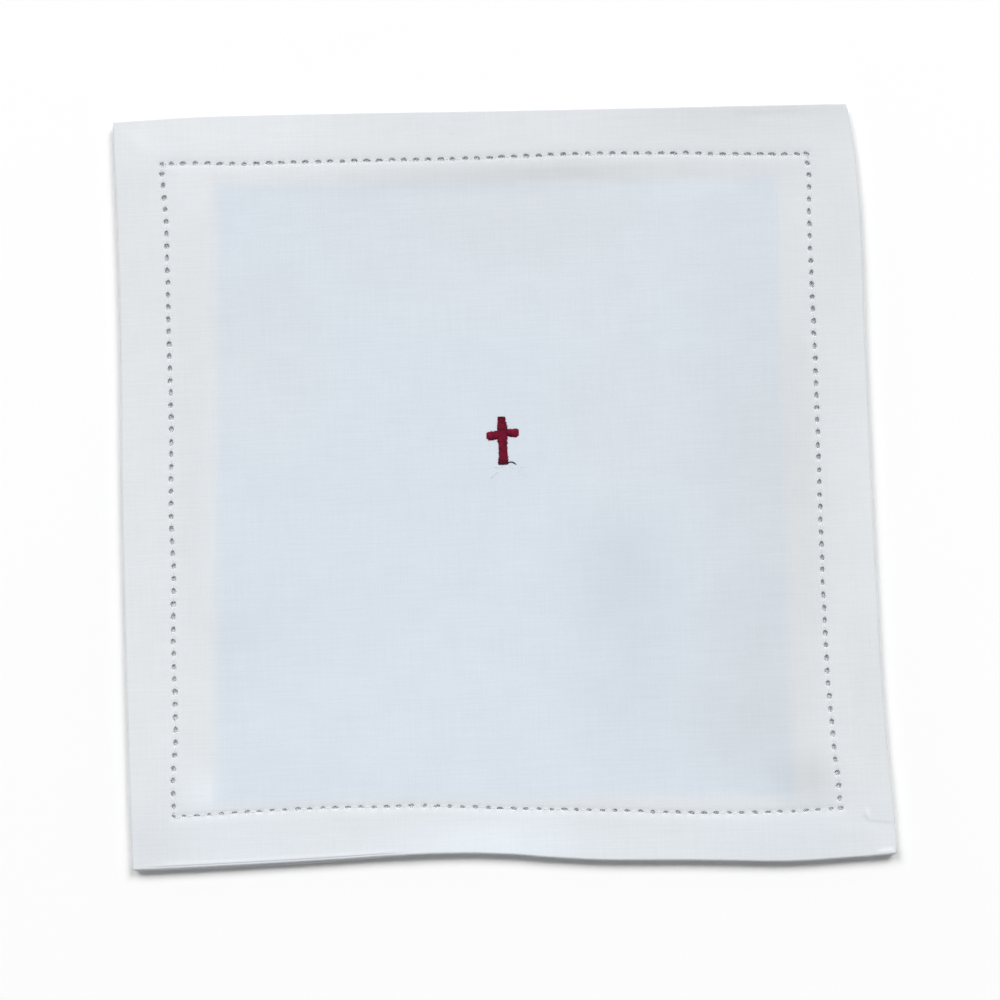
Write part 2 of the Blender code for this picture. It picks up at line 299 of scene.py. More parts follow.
class Panel:
    """A panel's solid: its outline from above, and the height of its top.

    A place on it is a pair: 0 to 1 across from its left side, and 0 to 1 up from its foot.
    """

    def __init__(self, node):
        points = [node.matrix_world @ vertex.co for vertex in node.data.vertices]
        self.solid = BVHTree.FromPolygons(points, [tuple(p.vertices) for p in node.data.polygons])
        self.base = min(p.z for p in points)
        self.ceiling = max(p.z for p in points)
        self.corners = [far_point(points, way).xy for way in CORNER_WAYS]
        self.sides = [self.measure_side(i) for i in range(4)]
        self.width = (self.corners[1] - self.corners[0]).length
        self.height = (self.corners[3] - self.corners[0]).length
        self.tops = self.measure_tops()

    def measure_side(self, i):
        """The way out of side i, and how far its edge lies that way from the straight side."""
        start, end = self.corners[i], self.corners[(i + 1) % 4]
        run = (end - start).normalized()
        out = Vector((run.y, -run.x))
        swings = [0.0]
        for k in range(1, OUTLINE_PLACES):
            spot = start.lerp(end, k / OUTLINE_PLACES) + out * OUTLINE_REACH
            swings.append(OUTLINE_REACH - self.nearest_hit(spot, -out))
        return out, swings + [0.0]

    def nearest_hit(self, spot, way):
        levels = int((self.ceiling - self.base) / LEVEL_STEP)
        hits = []
        for k in range(1, levels):
            origin = Vector((spot.x, spot.y, self.base + k * LEVEL_STEP))
            hits.append(self.solid.ray_cast(origin, way.to_3d())[3])
        return min(hit for hit in hits if hit is not None)

    def place(self, s, t):
        low_left, low_right, up_right, up_left = self.corners
        spot = low_left.lerp(low_right, s).lerp(up_left.lerp(up_right, s), t)
        shares = ((s, 1 - t), (t, s), (1 - s, t), (1 - t, 1 - s))
        for (out, swings), (along, share) in zip(self.sides, shares):
            spot = spot + out * (between(swings, along) * share)
        return spot

    def under(self, spot):
        """The place on the panel that lies under a point seen from above."""
        s = t = 0.5
        for _ in range(5):
            found = self.place(s, t)
            s += (spot.x - found.x) / self.width
            t += (spot.y - found.y) / self.height
        return s, t

    def measure_tops(self):
        """Heights at even places, evened out where the solid's facets meet."""
        count = HEIGHT_PLACES + 1
        rim_s, rim_t = RIM / self.width, RIM / self.height
        rows = []
        for j in range(count):
            t = min(max(j / HEIGHT_PLACES, rim_t), 1 - rim_t)
            spots = [self.place(min(max(i / HEIGHT_PLACES, rim_s), 1 - rim_s), t) for i in range(count)]
            rows.append([self.top_hit(spot) for spot in spots])
        for _ in range(HEIGHT_PASSES):
            rows = [even_out(row) for row in rows]
            rows = [list(row) for row in zip(*[even_out(column) for column in zip(*rows)])]
        return rows

    def top_hit(self, spot):
        return self.solid.ray_cast(Vector((spot.x, spot.y, SKY)), Vector((0, 0, -1)))[0].z

    def top(self, s, t):
        """Height of the solid's top."""
        s = min(max(s, 0.0), 1.0) * HEIGHT_PLACES
        t = min(max(t, 0.0), 1.0) * HEIGHT_PLACES
        i, j = min(int(s), HEIGHT_PLACES - 1), min(int(t), HEIGHT_PLACES - 1)
        low = self.tops[j][i] + (self.tops[j][i + 1] - self.tops[j][i]) * (s - i)
        high = self.tops[j + 1][i] + (self.tops[j + 1][i + 1] - self.tops[j + 1][i]) * (s - i)
        return low + (high - low) * (t - j)


def even_out(values):
    """Each value becomes the mean of itself, twice, and its neighbours."""
    last = len(values) - 1
    return [(values[max(i - 1, 0)] + 2 * v + values[min(i + 1, last)]) / 4 for i, v in enumerate(values)]


def row_depth(side, along):
    """How far in the row lies, at a place along a side, both in metres."""
    table = ROW[side]
    along /= MM
    if along <= table[0].along:
        return table[0].depth * MM
    for first, second in zip(table, table[1:]):
        if along <= second.along:
            share = smooth_step((along - first.along) / (second.along - first.along))
            return (first.depth + (second.depth - first.depth) * share) * MM
    return table[-1].depth * MM


class Row:
    """The hemstitched row on a panel, and rings of points that run round beside it.

    A ring has a point at each corner and, along each side, one at every bar and hole.
    """

    def __init__(self, panel):
        self.panel = panel
        self.lengths = (panel.width, panel.height, panel.width, panel.height)
        self.shares = self.shares_along()

    def shares_along(self):
        """Places along a side, as shares of the way from one corner's hole to the next."""
        total = HOLES - 1 + 2 * CORNER_GAP
        holes = [0.0] + [(CORNER_GAP + k) / total for k in range(HOLES)] + [1.0]
        shares = []
        for hole, following in zip(holes, holes[1:]):
            shares += [(hole + following) / 2, following]
        return shares[:-1]

    def on_side(self, i, along, depth):
        """The place that is along side i by one length and in from it by the other."""
        s, t = self.panel.width, self.panel.height
        places = (
            (along / s, depth / t),
            (1 - depth / s, along / t),
            (1 - along / s, 1 - depth / t),
            (depth / s, 1 - along / t),
        )
        return places[i]

    def depth(self, i, along):
        return row_depth(SIDES[i], along)

    def ends(self, i):
        """Places along side i where the row's corners lie."""
        before, after = (i - 1) % 4, (i + 1) % 4
        start = self.depth(before, self.lengths[before] - HEM)
        return start, self.lengths[i] - self.depth(after, 0.0)

    def corner(self, i, offset):
        start = self.ends(i)[0]
        return self.on_side(i, start + offset, self.depth(i, start) + offset)

    def ring(self, offset):
        """The ring that lies in from the row by offset, as places on the panel."""
        points = []
        for i in range(4):
            start, end = self.ends(i)
            points.append(self.corner(i, offset))
            for share in self.shares:
                along = start + (end - start) * share
                points.append(self.on_side(i, along, self.depth(i, along) + offset))
        return points

    def edge(self):
        """The ring along the panel's edge, as places on the panel."""
        points = []
        for i in range(4):
            points += [self.on_side(i, self.lengths[i] * share, 0.0) for share in [0.0, *self.shares]]
        return points

    def depths(self, offset):
        """How far in each point of a ring lies."""
        found = []
        for i in range(4):
            start, end = self.ends(i)
            alongs = [start + (end - start) * share for share in [0.0, *self.shares]]
            found += [self.depth(i, along) + offset for along in alongs]
        return found

    def distance(self, s, t):
        """How far the place lies from the row."""
        return self.nearest(s, t)[0]

    def nearest(self, s, t):
        """How far the place lies from the row, and the side whose row that is."""
        across, up = s * self.panel.width, t * self.panel.height
        w, h = self.panel.width, self.panel.height
        views = ((across, up), (up, w - across), (w - across, h - up), (h - up, across))
        found = [(self.panel.width, 0)]
        for i, (along, depth) in enumerate(views):
            start, end = self.ends(i)
            if start - SINK_REACH < along < end + SINK_REACH:
                found.append((abs(depth - self.depth(i, along)), i))
        return min(found)


def mix(first, second, share):
    return tuple(a + (b - a) * share for a, b in zip(first, second))


class Net:
    """Points, faces and two shades that become a mesh."""

    def __init__(self):
        self.points = []
        self.faces = []
        self.tones = []
        self.covers = []

    def add(self, point, tone=1.0, cover=0.0):
        self.points.append(point)
        self.tones.append(tone)
        self.covers.append(cover)
        return len(self.points) - 1

    def join(self, first, second):
        """Faces between two closed rings of as many points."""
        count = len(first)
        for i in range(count):
            k = (i + 1) % count
            self.faces.append((first[i], first[k], second[k], second[i]))

    def build(self, name, material):
        mesh = bpy.data.meshes.new(name)
        mesh.from_pydata(self.points, [], self.faces)
        for label, values in (("tone", self.tones), ("cover", self.covers)):
            mesh.attributes.new(label, "FLOAT", "POINT").data.foreach_set("value", values)
        mesh.materials.append(material)
        mesh.shade_smooth()
        obj = bpy.data.objects.new(name, mesh)
        bpy.context.scene.collection.objects.link(obj)
        return obj


def crease_at(x, y):
    """What the creases add to the front's height."""
    total = 0.0
    for crease in CREASES:
        start = Vector((crease.x0, crease.y0)) * MM
        end = Vector((crease.x1, crease.y1)) * MM
        run = end - start
        spot = Vector((x, y)) - start
        share = min(max(spot.dot(run) / run.length_squared, 0.0), 1.0)
        far = (spot - run * share).length / (crease.width * MM)
        fade = math.sin(math.pi * min(max(share, CREASE_ENDS), 1 - CREASE_ENDS))
        total += crease.height * MM * math.exp(-far * far) * fade
    return total


def uneven_at(x, y):
    """A soft unevenness with no direction."""
    return sum(
        swell.height * MM * noise.noise(Vector((x, y, UNEVEN_SEED * MM)) / (swell.width * MM))
        for swell in UNEVEN
    )


def lip_share(row, s, t):
    """1 beside the lip, 0 away from it, and how far the place lies from the lower edge."""
    along, depth = s * row.panel.width, t * row.panel.height
    share = smooth_step((along - LIP_START) / LIP_FADE) * smooth_step((LIP_END - along) / LIP_FADE)
    return share, depth


def lip_relief(row, s, t):
    share, depth = lip_share(row, s, t)
    groove = math.exp(-((depth - GROOVE_AT) / GROOVE_WIDTH) ** 2)
    lip = 1 - smooth_step((depth - GROOVE_AT) / GROOVE_WIDTH + 0.5)
    return -share * (GROOVE_DEPTH * groove + LIP_DROP * lip)


# Painted light of the lip: a highlight on the crest and shade on the lip, as a change of tone.
def lip_highlight_and_shade(row, s, t):
    share, depth = lip_share(row, s, t)
    crest = math.exp(-((depth - CREST_AT) / CREST_REACH) ** 2)
    lip = 1 - smooth_step((depth - GROOVE_AT) / GROOVE_WIDTH + 0.5)
    return share * (CREST_PAINTED_HIGHLIGHT * crest + LIP_PAINTED_SHADE * lip)


def front_relief(row, s, t):
    """What the front's face adds to its level: unevenness, creases, the lip and the row's valley."""
    spot = row.panel.place(s, t)
    far = row.distance(s, t) / SINK_REACH
    inside = smooth_step(min(s, 1 - s, t, 1 - t) * row.panel.width / UNEVEN_FULL)
    soft = uneven_at(spot.x, spot.y) * (UNEVEN_AT_EDGE + (1 - UNEVEN_AT_EDGE) * inside)
    sunk = SINK * math.exp(-far * far)
    return soft + crease_at(spot.x, spot.y) + lip_relief(row, s, t) - sunk


def ridge_share(far):
    """1 under the row, where the back is drawn up and shows in the holes, 0 away from it."""
    return 1 - smooth_step((far - RIDGE_FLAT) / (RIDGE_END - RIDGE_FLAT))


def spots_at(table, x, y):
    """What a table's soft spots add up to at a place."""
    total = 0.0
    for spot in table:
        far = math.hypot((x / MM - spot.x) / spot.across, (y / MM - spot.y) / spot.up)
        total += spot.change * (1 - smooth_step(far))
    return total


# Painted light and shade of the front: lighter towards the foot, and the soft spots.
def painted_light_at(x, y):
    return 1.0 + FOOT_PAINTED_LIGHT * (0.5 - y / TONE_SPAN) + spots_at(LIGHT_AND_SHADE_SPOTS, x, y)


class Board:
    """The stiffener's rectangle seen from above, measured from its node."""

    def __init__(self, node):
        points = [(node.matrix_world @ vertex.co).xy for vertex in node.data.vertices]
        ends = [far_point(points, way) for way in CORNER_WAYS]
        self.middle = (ends[0] + ends[1] + ends[2] + ends[3]) / 4
        self.run = (ends[1] - ends[0]).normalized()
        self.half_width = max(abs((p - self.middle).dot(self.run)) for p in points)
        rise = Vector((-self.run.y, self.run.x))
        self.half_height = max(abs((p - self.middle).dot(rise)) for p in points)

    def cover(self, x, y):
        """1 where the stiffener shows through the cloth, 0 beyond its soft border."""
        spot = Vector((x, y)) - self.middle
        rise = Vector((-self.run.y, self.run.x))
        inside = min(self.half_width - abs(spot.dot(self.run)), self.half_height - abs(spot.dot(rise)))
        return smooth_step(0.5 + inside / (2 * BORDER))


class Cloth:
    """Builds a panel's linen: the face, the edge fold and the two layers under the hem."""

    def __init__(self, row, flip, relief, shade, hem_extra):
        self.row = row
        self.panel = row.panel
        self.flip = flip           # True for the back, whose face lies underneath
        self.relief = relief
        self.shade = shade
        self.hem_extra = hem_extra
        self.net = Net()
        self.outer = row.ring(-BAND)
        self.edge = row.edge()
        self.depths = row.depths(-BAND)

    def level(self, s, t):
        """Height of the face's surface without its relief."""
        if self.flip:
            return self.panel.base
        hem_top = self.panel.base + HEM_STACK
        return hem_top + (self.panel.top(s, t) - hem_top) * RISE_SHARE

    def surface(self, s, t):
        """Height of the face's surface."""
        return self.level(s, t) + self.relief(s, t)

    def point(self, s, t, under, tone_change=0.0):
        """Adds the point that lies under the face's surface by a depth."""
        relief = self.relief(s, t)
        if under > CLOTH:
            relief = max(relief, LOWEST_RELIEF)
        spot = self.panel.place(s, t)
        height = self.level(s, t) + relief + (under if self.flip else -under)
        tone, cover = self.shade(s, t)
        return self.net.add((spot.x, spot.y, height), tone + tone_change, cover)

    def ring_at(self, depth_of, under, side_light_and_shade=None):
        """A ring of the hem; depth_of gives how far in from the edge it lies, by the hem's width; the last
        argument is each side's painted light.
        """
        ring = []
        places = zip(self.edge, self.outer, self.depths)
        for i, (edge, outer, width) in enumerate(places):
            s, t = mix(edge, outer, depth_of(width) / width)
            side = SIDES[4 * i // len(self.edge)]
            ring.append(self.point(s, t, under, side_light_and_shade[side] if side_light_and_shade else 0.0))
        return ring

    def face_rings(self):
        """From the row's strip out to the edge fold."""
        half = CLOTH / 2
        start = half + FOLD_RADIUS
        rings = []
        for share in FACE_SHARES:
            rings.append(self.ring_at(lambda width: start + (width - start) * share, half))
        for depth in EDGE_DEPTHS:
            rings.append(self.ring_at(lambda width: depth * MM, half))
        return rings

    def fold_rings(self):
        half = CLOTH / 2
        rings = []
        for k in range(FOLD_STEPS + 1):
            angle = math.pi * k / FOLD_STEPS
            depth = half + FOLD_RADIUS * (1 - math.sin(angle))
            under = half + FOLD_RADIUS * (1 - math.cos(angle))
            rings.append(self.ring_at(lambda width: depth, under, FOLD_HIGHLIGHT_AND_SHADE))
        return rings

    def under_rings(self):
        """The layer that runs back under the face, its fold and the end turned in."""
        start = CLOTH / 2 + FOLD_RADIUS
        under = HEM_STACK - CLOTH / 2
        extra = self.hem_extra
        rings = []
        for share in UNDER_SHARES:
            rings.append(self.ring_at(lambda width: start + (width + extra - start) * share, under))
        last = UNDER_SHARES[-1]
        for k in range(1, TURN_STEPS + 1):
            angle = math.pi * k / TURN_STEPS
            reach = TURN_RADIUS * math.sin(angle)
            rise = TURN_RADIUS * (1 - math.cos(angle))
            rings.append(self.ring_at(
                lambda width: start + (width + extra - start) * last + reach, under - rise))
        for share in TURN_SHARES:
            depth = under - 2 * TURN_RADIUS
            rings.append(self.ring_at(lambda width: start + (width + extra - start) * share, depth))
        return rings

    def hem(self):
        """Adds the hem and returns its innermost ring, beside the row."""
        rings = self.face_rings() + self.fold_rings() + self.under_rings()
        for first, second in zip(rings, rings[1:]):
            self.net.join(second, first)
        return rings[0]

    def middle(self, ring_places):
        """Adds the cloth inside a ring and returns the ring's points."""
        count = len(ring_places) // 4
        closed = ring_places + ring_places[:1]
        sides = [closed[i * count:(i + 1) * count + 1] for i in range(4)]
        low, right, high, left = sides[0], sides[1], sides[2][::-1], sides[3][::-1]
        corners = low[0], low[-1], high[0], high[-1]
        grid = []
        for j in range(count + 1):
            line = []
            for i in range(count + 1):
                place = blend_place(low[i], high[i], left[j], right[j], corners, i / count, j / count)
                line.append(self.point(*place, CLOTH / 2))
            grid.append(line)
        for lower, upper in zip(grid, grid[1:]):
            for i in range(count):
                self.net.faces.append((lower[i], lower[i + 1], upper[i + 1], upper[i]))
        bottom = grid[0][:-1]
        right_side = [line[-1] for line in grid[:-1]]
        top = grid[-1][:0:-1]
        left_side = [line[0] for line in grid[:0:-1]]
        return bottom + right_side + top + left_side


def blend_place(low, high, left, right, corners, u, v):
    """The place inside four border points and four corners, as a Coons patch has it."""
    low_left, low_right, high_left, high_right = corners
    ends = mix(mix(low_left, low_right, u), mix(high_left, high_right, u), v)
    upward = mix(low, high, v)
    across = mix(left, right, u)
    return tuple(a + b - c for a, b, c in zip(upward, across, ends))


def thicken(obj):
    """Gives the cloth its thickness, half to each side."""
    solid = obj.modifiers.new("Thickness", "SOLIDIFY")
    solid.thickness = CLOTH
    solid.offset = 0.0
    graph = bpy.context.evaluated_depsgraph_get()
    finished = bpy.data.meshes.new_from_object(obj.evaluated_get(graph))
    obj.modifiers.clear()
    obj.data = finished


def hole_shape(chance, size, grow):
    """The places on an uneven oval, by angle from along the row."""
    stretch = 1 + size.uneven * chance.uniform(-1, 1)
    narrow = 1 + size.uneven * chance.uniform(-1, 1)
    waves = []
    for k in (2, 3, 4):
        height = size.uneven * chance.uniform(0.2, 0.9) / (k - 1)
        waves.append((k, height, chance.uniform(0, math.tau)))
    length = size.length * grow * MM / 2 * stretch
    width = size.width * MM / 2 * narrow

    def radius_at(angle):
        wave = 1 + sum(height * math.cos(k * angle + start) for k, height, start in waves)
        return length * wave * math.cos(angle), width * wave * math.sin(angle)

    return radius_at


class Stitcher:
    """Cuts the holes into the front's strip and keeps their places for the thread."""

    def __init__(self, cloth, inner_ids, outer_ids):
        self.cloth = cloth
        self.row = cloth.row
        self.net = cloth.net
        self.inner = inner_ids
        self.outer = outer_ids
        self.line = self.row.ring(0.0)
        self.chance = random.Random(HOLE_SEED)
        self.count = len(self.line)
        self.bars = {}
        self.holes = []

    def side_of(self, index):
        return (index % self.count) // (self.count // 4)

    def is_corner(self, index):
        return index % (self.count // 4) == 0

    def bar(self, index):
        """The point in the middle of the strip at a bar."""
        index %= self.count
        if index not in self.bars:
            self.bars[index] = self.cloth.point(*self.line[index], CLOTH / 2)
        return self.bars[index]

    def axes(self, index):
        """Ways along the row and in from it at a hole."""
        side = self.side_of(index)
        if self.is_corner(index):
            before = way_along((side - 1) % 4) + way_along(side)
            along = before.normalized()
        else:
            along = way_along(side)
        return along, Vector((-along.y, along.x))

    def cut(self, index):
        """One hole in its cell of eight points."""
        before, after = (index - 1) % self.count, (index + 1) % self.count
        cell = [
            self.bar(before), self.outer[before], self.outer[index], self.outer[after],
            self.bar(after), self.inner[after], self.inner[index], self.inner[before],
        ]
        size = HOLE_SIZES[SIDES[self.side_of(index)]]
        beside = self.is_corner(index) or self.is_corner(index - 2) or self.is_corner(index + 2)
        shape = hole_shape(self.chance, size, CORNER_SHRINK if beside else 1.0)
        along, inward = self.axes(index)
        shift = Vector([self.chance.uniform(-slip, slip) for slip in HOLE_SLIP]) * MM
        dip = size.dip * MM * self.chance.uniform(0.8, 1.1)
        rings = []
        for grow, sink in RIM_RINGS:
            rings.append([self.rim_point(index, shape, along, inward, shift, grow, k, dip * sink)
                          for k in range(RING_POINTS)])
        self.fill(cell, rings[0])
        self.net.join(rings[0], rings[1])
        self.net.join(rings[1], rings[2])
        self.holes.append((index, shape, along, inward, shift))

    def rim_place(self, index, shape, along, inward, shift, grow, angle):
        a, b = shape(angle)
        spot = along * (a * grow + shift.x) + inward * (b * grow + shift.y)
        s, t = self.line[index]
        return s + spot.x / self.row.panel.width, t + spot.y / self.row.panel.height

    def rim_point(self, index, shape, along, inward, shift, grow, k, sink):
        angle = math.pi + math.tau * k / RING_POINTS
        place = self.rim_place(index, shape, along, inward, shift, grow, angle)
        return self.cloth.point(*place, CLOTH / 2 + sink)

    def fill(self, cell, ring):
        """Faces between the cell's eight points and the ring's sixteen."""
        count = len(ring)
        for k, point in enumerate(cell):
            following = cell[(k + 1) % len(cell)]
            first, second, third = ring[2 * k], ring[2 * k + 1], ring[(2 * k + 2) % count]
            self.net.faces.append((point, second, first))
            self.net.faces.append((point, following, third, second))


def way_along(side):
    return Vector(((1, 0), (0, 1), (-1, 0), (0, -1))[side])


def tube(net, path, radius, sides=5, tone=1.0):
    """A closed thread along a path of points, its ends drawn to a point."""
    rings = []
    up = Vector((0, 0, 1))
    for i, spot in enumerate(path):
        ahead = path[min(i + 1, len(path) - 1)] - path[max(i - 1, 0)]
        side = ahead.cross(up).normalized()
        lift = side.cross(ahead).normalized()
        ring = []
        for k in range(sides):
            angle = math.tau * k / sides
            way = side * math.cos(angle) + lift * math.sin(angle)
            ring.append(net.add(tuple(spot + way * radius), tone))
        rings.append(ring)
    for first, second in zip(rings, rings[1:]):
        net.join(second, first)
    net.faces.append(tuple(rings[0]))
    net.faces.append(tuple(reversed(rings[-1])))


class Thread:
    """The white hemstitch thread on the front's face."""

    def __init__(self, stitcher):
        self.stitcher = stitcher
        self.cloth = stitcher.cloth
        self.row = stitcher.row
        self.net = Net()
        self.chance = random.Random(THREAD_SEED)

    def on_face(self, s, t, lift):
        spot = self.row.panel.place(s, t)
        return Vector((spot.x, spot.y, self.cloth.surface(s, t) + lift))

    def wraps(self, hole):
        """Thread wrapped over a hole's rim, from inside the hole to the cloth beside it."""
        for k in range(WRAPS):
            angle = math.tau * (k + self.chance.uniform(-0.25, 0.25)) / WRAPS
            reach = self.chance.uniform(*WRAP_REACH)
            turned = angle + self.chance.uniform(-0.1, 0.1)
            places = ((0.97, angle, -0.15), (1.14, angle, 0.02), (reach, turned, -0.05))
            path = [self.on_face(*self.stitcher.rim_place(*hole, grow, way), lift * MM)
                    for grow, way, lift in places]
            tube(self.net, path, WRAP_RADIUS, 4, self.chance.uniform(0.98, 1.08))

    def stitch(self, start, end, lift, radius, tone):
        """A stitch over the cloth from one place to another, its ends sunk."""
        path = []
        for k in range(STITCH_STEPS + 1):
            share = k / STITCH_STEPS
            s, t = mix(start, end, share)
            path.append(self.on_face(s, t, (lift + radius) * math.sin(math.pi * share) - radius * 1.2))
        tube(self.net, path, radius, tone=tone * self.chance.uniform(0.98, 1.06))

    def between_holes(self, hole, following):
        """The stitches at the bar between two holes."""
        step = self.row.panel
        bar = (hole[0] + 1) % self.stitcher.count
        ends = [self.stitcher.rim_place(*hole, 1.1, 0.0), self.stitcher.rim_place(*following, 1.1, math.pi)]
        self.stitch(ends[0], ends[1], 0.01 * MM, BAR_RADIUS, 0.92)
        side = way_along(self.stitcher.side_of(bar))
        inward = Vector((-side.y, side.x))
        for way in (-1, 1):
            reach = STITCH_OUT * self.chance.uniform(0.8, 1.1) * way
            slip = self.chance.uniform(-0.15, 0.15) * MM
            s, t = self.stitcher.line[bar]
            tip = (
                s + (inward.x * reach + side.x * slip) / step.width,
                t + (inward.y * reach + side.y * slip) / step.height,
            )
            for end in ends:
                self.stitch(end, tip, -0.015 * MM, STITCH_RADIUS, 1.0)

    def fibres(self, hole):
        """Fine fibres left side by side across a hole, a little under its face."""
        count = HOLE_SIZES[SIDES[self.stitcher.side_of(hole[0])]].fibres
        for k in range(count):
            along = 2 * (k + 0.5 + self.chance.uniform(-0.3, 0.3)) / count - 1
            angle = math.acos(along)
            ends = [self.stitcher.rim_place(*hole, FIBRE_GROW, end) for end in (angle, -angle)]
            drop = self.chance.uniform(*FIBRE_DEPTHS) * MM
            tone = self.chance.uniform(*FIBRE_TONES)
            tube(self.net, [self.on_face(*end, -drop) for end in ends], FIBRE_RADIUS, 3, tone)

    def sew(self):
        holes = self.stitcher.holes
        for k, hole in enumerate(holes):
            self.wraps(hole)
            self.fibres(hole)
            self.between_holes(hole, holes[(k + 1) % len(holes)])
        return self.net


def slope_tone(cloth, s, t):
    """Evens out part of the lamps' shading on the slopes, since the light shown is softer."""
    step = 0.5 * MM / cloth.panel.height
    rise = (cloth.level(s, t + step) - cloth.level(s, t - step)) / MM
    return SLOPE_EVENING * rise


def build_front(frame_nodes, linen, thread):
    panel = Panel(frame_nodes["front_panel"])
    board = Board(frame_nodes["stiffener"])
    row = Row(panel)

    def shade(s, t):
        spot = panel.place(s, t)
        tone = painted_light_at(spot.x, spot.y) + lip_highlight_and_shade(row, s, t) + slope_tone(cloth, s, t)
        return tone, max(0.0, board.cover(spot.x, spot.y) + spots_at(COOLNESS, spot.x, spot.y))

    cloth = Cloth(row, False, lambda s, t: front_relief(row, s, t), shade, FRONT_HEM_EXTRA)
    outer = cloth.hem()
    inner = cloth.middle(row.ring(BAND))
    stitcher = Stitcher(cloth, inner, outer)
    for index in range(0, stitcher.count, 2):
        stitcher.cut(index)
    front = cloth.net.build("front_linen", linen)
    thicken(front)
    threads = Thread(stitcher).sew().build("hemstitch_thread", thread)
    return front, threads, cloth


def build_back(frame_nodes, linen, front):
    """The back, drawn up to the front's row so that it shows in the holes."""
    panel = Panel(frame_nodes["back_panel"])
    row = Row(panel)

    def relief(s, t):
        if row.distance(s, t) > 2 * RIDGE_END:
            return 0.0
        place = front.panel.under(panel.place(s, t))
        far, side = front.row.nearest(*place)
        depth = HOLE_SIZES[SIDES[side]].depth * MM
        return ridge_share(far) * (front.surface(*place) - depth - HEM_STACK - panel.base)

    def shade(s, t):
        return 1.0 + ROW_PAINTED_LIGHT * ridge_share(row.distance(s, t)), 0.0

    cloth = Cloth(row, True, relief, shade, BACK_HEM_EXTRA)
    outer = cloth.hem()
    inner = cloth.middle(row.ring(BAND))
    cloth.net.join(outer, inner)
    back = cloth.net.build("back_linen", linen)
    thicken(back)
    return back


# The cross, in millimetres from the middle of its crossing: the upright's sides by height,
# and the arms' lower and upper edges by distance across.
CROSS_LOW = (3.8, 7.3)     # from the solid's lower left corner to its crossing
UPRIGHT = (
    Width(at=-7.2, low=-1.35, high=0.95), Width(at=-6.3, low=-1.2, high=1.05),
    Width(at=-4.75, low=-1.05, high=0.95), Width(at=-3.05, low=-1.0, high=0.8),
    Width(at=-1.7, low=-1.25, high=1.0), Width(at=-0.2, low=-1.25, high=1.05),
    Width(at=1.7, low=-1.2, high=1.0), Width(at=2.9, low=-1.0, high=0.8),
    Width(at=4.05, low=-0.95, high=0.6),
)
LEFT_ARM = (
    Width(at=-3.8, low=-1.0, high=0.2), Width(at=-3.4, low=-1.35, high=0.6),
    Width(at=-2.4, low=-1.3, high=0.6), Width(at=-1.1, low=-1.2, high=0.7),
)
RIGHT_ARM = (
    Width(at=0.9, low=-0.5, high=1.05), Width(at=2.0, low=-0.75, high=1.0),
    Width(at=3.2, low=-0.85, high=1.05), Width(at=3.7, low=-0.5, high=0.8),
)
SATIN_STEP = 0.125 * MM
SATIN_RADIUS = 0.085 * MM
SATIN_HEIGHT = 0.34 * MM
SATIN_JAG = 0.16 * MM
UPRIGHT_RISE = 0.06 * MM   # the upright lies over the arms
SATIN_STEPS = 10           # along a stitch
SATIN_SUNK = 0.04 * MM


def width_at(table, place):
    """The low and high edge at a place, straight between the table's rows."""
    for first, second in zip(table, table[1:]):
        if place <= second.at:
            share = (place - first.at) / (second.at - first.at)
            return mix((first.low, first.high), (second.low, second.high), share)
    return table[-1].low, table[-1].high


class Embroidery:
    """Satin stitches laid side by side over the cloth."""

    def __init__(self, cloth, middle):
        self.cloth = cloth
        self.middle = middle
        self.net = Net()
        self.chance = random.Random(SILK_SEED)

    def lay(self, table, upright, rise):
        """One bar of stitches; rise is how much higher than the cloth it starts."""
        start, end = table[0].at * MM, table[-1].at * MM
        count = round((end - start) / SATIN_STEP)
        for k in range(count + 1):
            place = start + (end - start) * k / count
            low, high = width_at(table, place / MM)
            low = low * MM + self.chance.uniform(-1, 0.6) * SATIN_JAG
            high = high * MM + self.chance.uniform(-0.6, 1) * SATIN_JAG
            ends = min(place - start, end - place) / (1.1 * MM)
            height = SATIN_HEIGHT * math.sqrt(min(1.0, 0.12 + ends)) + rise
            self.strand(place, low, high, upright, height)

    def strand(self, place, low, high, upright, height):
        slant = self.chance.uniform(-0.05, 0.05) * MM
        path = []
        for i in range(SATIN_STEPS + 1):
            share = i / SATIN_STEPS
            across = low + (high - low) * share
            along = place + slant * (share - 0.5)
            x, y = (across, along) if upright else (along, across)
            arch = math.sqrt(max(0.0, 1 - (2 * share - 1) ** 2)) ** 0.8
            level = self.middle.z - SATIN_SUNK + height * arch
            path.append(Vector((self.middle.x + x, self.middle.y + y, level)))
        tube(self.net, path, SATIN_RADIUS, 6, self.chance.uniform(0.75, 1.15))

    def loose(self, rows, radius, tone):
        """A loose end through a table of places in millimetres from the crossing."""
        path = [self.middle + Vector(row) * MM for row in rows]
        tube(self.net, smooth_path(path), radius, 6, tone)


def smooth_path(points, steps=6):
    """A smooth path through the points."""
    path = []
    last = len(points) - 1
    axes = [[p[k] for p in points] for k in range(3)]
    for i in range(last * steps + 1):
        share = i / (last * steps)
        path.append(Vector([between(values, share) for values in axes]))
    return path


